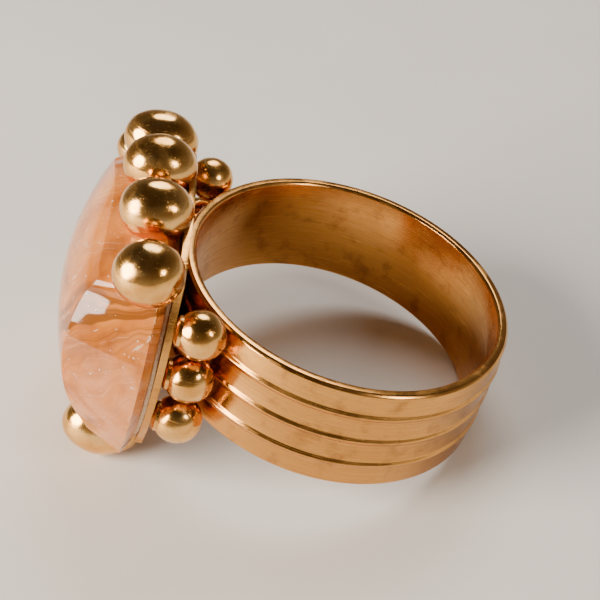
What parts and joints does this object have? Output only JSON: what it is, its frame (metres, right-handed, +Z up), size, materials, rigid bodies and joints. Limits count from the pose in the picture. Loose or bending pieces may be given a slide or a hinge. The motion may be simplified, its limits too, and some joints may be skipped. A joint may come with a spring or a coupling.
{
  "type": "cocktail ring",
  "caption": "Cocktail ring lying on its side: ribbed gold band, back plate, large domed cushion of included quartz held by a row of gold domes, with gold balls at the shoulders.",
  "frame": {"origin": "on the table, under the middle of the ring's box as it lies on its side", "axes": "+Z up from the table, -X from the band towards the stone, -Y towards the bare end of the stone"},
  "size_m": [0.0238, 0.0206, 0.0157],
  "materials": {
    "polished_gold": "bright hand-polished yellow gold with fine scratches",
    "worn_gold": "polished yellow gold, softly worn, with scratches around the band",
    "stone": "polished peach-amber quartz with needles, veils and small cracks inside",
    "cement": "pale amber setting cement"
  },
  "bodies": {
    "root": {"band": "worn_gold", "back_plate": "worn_gold", "stone_cement": "cement", "stone": "stone", "front_dome_1": "polished_gold", "front_dome_2": "polished_gold", "front_dome_3": "polished_gold", "front_dome_4": "polished_gold", "rear_dome_1": "polished_gold", "rear_dome_2": "polished_gold", "rear_dome_3": "polished_gold", "rear_dome_4": "polished_gold", "rear_dome_5": "polished_gold", "rear_dome_6": "polished_gold", "rear_dome_7": "polished_gold", "near_shoulder_ball_1": "polished_gold", "near_shoulder_ball_2": "polished_gold", "near_shoulder_ball_3": "polished_gold", "far_shoulder_ball_1": "polished_gold", "far_shoulder_ball_2": "polished_gold", "far_shoulder_ball_3": "polished_gold"}
  },
  "joints": []
}
